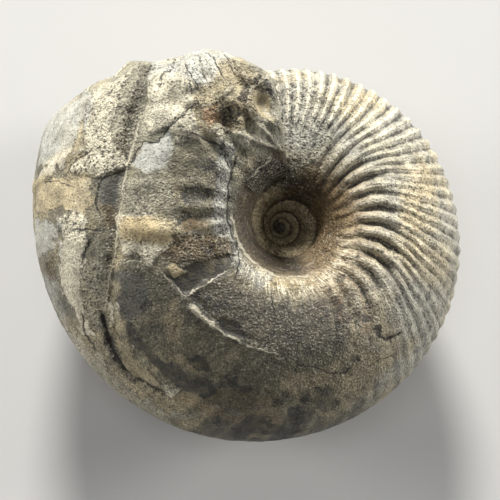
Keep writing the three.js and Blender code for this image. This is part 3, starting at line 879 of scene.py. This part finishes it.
def new_material(name):
    made = bpy.data.materials.new(name)
    made.use_nodes = True
    return made, made.node_tree.nodes["Principled BSDF"]


stone, shader = new_material("fossil_limestone")
tree = stone.node_tree


def feed(node, inputs):
    """Puts numbers into a node's inputs, or links other nodes' outputs to them."""
    for socket, value in inputs.items():
        if isinstance(value, bpy.types.NodeSocket):
            tree.links.new(value, node.inputs[socket])
        else:
            node.inputs[socket].default_value = value


def add_node(kind, inputs, **settings):
    made = tree.nodes.new(kind)
    for key, value in settings.items():
        setattr(made, key, value)
    feed(made, inputs)
    return made


def calc(operation, a, b=0.0):
    return add_node("ShaderNodeMath", {0: a, 1: b}, operation=operation).outputs[0]


def times(a, b):
    return calc("MULTIPLY", a, b)


def plus(a, b):
    return calc("ADD", a, b)


def centred(value):
    """A value from 0 to 1 moved to lie about 0."""
    return plus(value, -0.5)


def attribute(name, output="Fac"):
    return add_node("ShaderNodeAttribute", {}, attribute_name=name).outputs[output]


def step(value, start, end):
    """0 before start, 1 past end, smooth between: it may run down as well as up."""
    inputs = {"Value": value, "From Min": start, "From Max": end}
    return add_node("ShaderNodeMapRange", inputs, interpolation_type="SMOOTHSTEP").outputs["Result"]


def layer(under, over, weight, blend_type="MIX"):
    inputs = {"Factor": weight, 6: under, 7: over}
    return add_node("ShaderNodeMix", inputs, data_type="RGBA", blend_type=blend_type).outputs[2]


def coat(under, paint, weight):
    """A plain colour laid over the colour so far."""
    return layer(under, (*paint, 1), weight)


where = add_node("ShaderNodeTexCoord", {}).outputs["Object"]


def cloud(size, detail, roughness, offset=0):
    """Noise from 0 to 1 with lumps of about this size in millimetres."""
    shift = {"Vector": where, "Location": (offset, 2 * offset, -offset)}
    shifted = add_node("ShaderNodeMapping", shift).outputs["Vector"]
    inputs = {"Vector": shifted, "Scale": 1 / (size * MM), "Detail": detail, "Roughness": roughness}
    return add_node("ShaderNodeTexNoise", inputs).outputs["Fac"]


def streaks(across, along):
    """Fine uneven lines that run along one direction of the shell and vary across the other."""
    on_shell = add_node("ShaderNodeCombineXYZ", {0: across, 1: along}).outputs[0]
    inputs = {"Vector": on_shell, "Scale": 1, "Detail": 2}
    return add_node("ShaderNodeTexNoise", inputs).outputs["Fac"]


speck = cloud(0.3, 2, 0.6)
sand = cloud(0.6, 2, 0.6, 0.7)
mottle = cloud(1.7, 4, 0.65, 0.3)
ragged_edge = centred(cloud(1.0, 4, 0.65, 1.9))
grain_here = attribute("grain")

# The coat, with the crusts and stains on it. Cream crests on the ribs, and painted shade that darkens their
# grooves.
colour = attribute("tint", "Color")
ribs_here = plus(attribute("ribs"), times(centred(mottle), 2.0))
# Painted shade: the grooves between the ribs are darkened.
colour = coat(colour, DARK * 0.75, times(step(ribs_here, -0.2, -0.9), 0.85))
colour = coat(colour, CREAM, times(step(ribs_here, 0.3, 0.95), 0.35))
stain_mask = step(plus(attribute("stain"), times(ragged_edge, 2.6)), -0.25, 0.15)
stain_mask = times(stain_mask, step(mottle, 0.25, 0.6))
colour = coat(colour, BLACK, times(stain_mask, 0.85))
# Painted highlight along the sharp crests of the top flank's ribs.
crest_highlight_mask = step(plus(attribute("crest_highlight"), times(centred(sand), 1.1)), 0.4, 0.65)
colour = coat(colour, CREAM * 1.3, times(crest_highlight_mask, 0.65))
crust_mask = step(plus(attribute("crust"), times(ragged_edge, 2.4)), -0.08, 0.08)
colour = layer(colour, attribute("crust_tint", "Color"), times(crust_mask, 0.85))

# Mottling, then fine specks that are strongest where the stone is grainy.
specks = times(centred(speck), plus(1.2, grain_here))
lightness = times(plus(0.08, times(mottle, 1.8)), plus(1, specks))
grey = add_node("ShaderNodeCombineColor", {0: lightness, 1: lightness, 2: lightness})
colour = layer(colour, grey.outputs["Color"], 1.0, "MULTIPLY")
pore = add_node("ShaderNodeTexVoronoi", {"Vector": where, "Scale": 1 / (0.7 * MM)}, feature="F1")
pore = pore.outputs["Distance"]
pores = times(step(plus(pore, centred(sand)), 0.34, 0.18),
              step(plus(grain_here, centred(mottle)), 0.5, 0.9))
dots = times(step(pore, 0.22, 0.12), step(mottle, 0.5, 0.4))
pits = calc("MAXIMUM", pores, times(dots, step(grain_here, 0.05, 0.4)))
pale_specks = times(step(speck, 0.56, 0.68), step(grain_here, 0.1, 0.9))
colour = coat(colour, DARK * 0.6, times(pits, 0.7))
colour = coat(colour, DARK * 0.6, times(step(speck, 0.42, 0.33), 0.5))
colour = coat(colour, CREAM, times(pale_specks, 0.5))

# Growth lines along the ribs, and along the walls of the umbilicus.
along_ribs = streaks(times(attribute("rib_path"), 0.8), times(attribute("coil_section"), 0.7))
along_wall = streaks(times(attribute("coil_section"), 7), times(attribute("coil_degrees"), 0.04))
striae = plus(times(centred(along_ribs), attribute("ribbed")),
              times(centred(along_wall), attribute("wall")))
# White growth streaks on the gold shoulder, partly a painted highlight.
streaks_and_highlight_mask = times(step(plus(along_ribs, centred(mottle)), 0.48, 0.62), attribute("streaks_and_sheen"))
colour = coat(colour, CREAM * 1.3, times(streaks_and_highlight_mask, 0.8))
colour = coat(colour, DARK * 0.8, times(step(striae, -0.03, -0.2), 0.35))
colour = coat(colour, CREAM, times(step(striae, 0.05, 0.25), 0.25))

# Cracks and veins wander a little off their lines, and hair cracks run where the shell is split.
wander = times(ragged_edge, 1.1)


def line_mask(name):
    across = calc("ABSOLUTE", plus(attribute(name + "_across"), wander))
    across = times(across, attribute(name + "_finer"))
    across = plus(across, times(centred(mottle), 2.5))
    return times(step(across, 1.15, 0.6), attribute(name + "_near"))


split = calc("ABSOLUTE", centred(cloud(5.0, 4, 0.6, 3.7)))
hair_crack = times(step(split, 0.007, 0.002), attribute("cracked"))
crack = calc("MAXIMUM", line_mask("crack"), hair_crack)
vein = line_mask("vein")
colour = coat(colour, DARK * 0.35, times(crack, 0.85))
colour = coat(colour, CREAM * 1.15, times(vein, 0.5))
roughness = plus(0.5, times(grain_here, 0.2))
sparkle = times(step(speck, 0.5, 0.66), -0.35)

# Relief too fine for the mesh, in millimetres.
relief = times(speck, plus(0.1, times(grain_here, 0.3)))
for form, stands in (
    (mottle, 0.22),
    (times(sand, calc("POWER", grain_here, 2)), 0.5),
    (pits, -0.2),
    (striae, 0.15),
    (crust_mask, 0.18),
    (vein, 0.12),
    (crack, -0.25),
):
    relief = plus(relief, times(form, stands))
bump = add_node("ShaderNodeBump", {"Distance": MM, "Height": relief}).outputs["Normal"]
feed(shader, {"Base Color": colour, "Roughness": plus(roughness, sparkle), "Normal": bump,
              "Specular IOR Level": 0.5})
skin.materials.clear()
skin.materials.append(stone)

# ---- Floor ----------------------------------------------------------------------------------
# A plain pale table top, wide enough to fill the view.
bpy.ops.object.select_all(action="DESELECT")
bpy.ops.mesh.primitive_plane_add(size=3, location=(0, 0, 0))
floor = bpy.context.object
floor.name = "floor"
floor_paint, floor_shader = new_material("pale_floor")
floor_shader.inputs["Base Color"].default_value = (0.45, 0.445, 0.43, 1)
floor_shader.inputs["Roughness"].default_value = 0.9
floor.data.materials.append(floor_paint)

# ---- Camera ---------------------------------------------------------------------------------
# It looks down into the umbilicus, a little to the left of and below the coil axis.
VIEW_DISTANCE = 0.300
LENS = 146.9  # millimetres
SENSOR_WIDTH = 36
PIXELS_PER_MM = 6.8
COIL_IN_VIEW = (28, 22)  # pixels right of and above the middle of the view
COIL_OFFSET = [pixels / PIXELS_PER_MM * MM for pixels in COIL_IN_VIEW]
VIEW_FROM = (-0.145, -0.05, 1)
towards = Vector(VIEW_FROM).normalized()
upward = (Vector((0, 1, 0)) - towards * towards.y).normalized()
rightward = upward.cross(towards)
turn = lean.to_3x3()
towards, upward, rightward = turn @ towards, turn @ upward, turn @ rightward
aim = shell_origin - rightward * COIL_OFFSET[0] - upward * COIL_OFFSET[1]
camera = bpy.data.objects.new("camera", bpy.data.cameras.new("camera"))
camera.data.lens = LENS
camera.data.sensor_width = SENSOR_WIDTH
camera.data.clip_start = 0.01
camera.matrix_world = Matrix.Translation(aim + towards * VIEW_DISTANCE) @ Matrix(
    (rightward, upward, towards)).transposed().to_4x4()
bpy.context.scene.collection.objects.link(camera)
bpy.context.scene.camera = camera

# ---- Light ----------------------------------------------------------------------------------
# A soft key light grazes the shell from beyond its broken end, and a pale room fills in.
LIT_POINT = Vector((0, 0, 0.03))
LIGHTS = [  # name, place, size, power and colour
    ("key", (-0.1, 1.0, 0.62), 0.3, 26, (1, 0.985, 0.96)),
    ("left", (-0.95, 0.2, 0.3), 0.35, 7, (1, 0.985, 0.96)),
    ("right", (0.95, 0.25, 0.3), 0.35, 10, (1, 0.985, 0.96)),
    ("fill", (-0.15, -0.1, 1.1), 0.5, 2.5, (0.95, 0.97, 1)),
]
for name, lamp_place, size, power, lamp_colour in LIGHTS:
    lamp = bpy.data.lights.new(name, "AREA")
    lamp.shape = "DISK"
    lamp.size = size
    lamp.energy = power
    lamp.color = lamp_colour
    holder = bpy.data.objects.new(name, lamp)
    holder.location = lamp_place
    holder.rotation_euler = (LIT_POINT - Vector(lamp_place)).to_track_quat("-Z", "Y").to_euler()
    bpy.context.scene.collection.objects.link(holder)

world = bpy.data.worlds.new("room")
world.use_nodes = True
world.node_tree.nodes["Background"].inputs["Color"].default_value = (0.9, 0.93, 1, 1)
world.node_tree.nodes["Background"].inputs["Strength"].default_value = 0.12
bpy.context.scene.world = world
bpy.context.scene.view_settings.view_transform = "Standard"
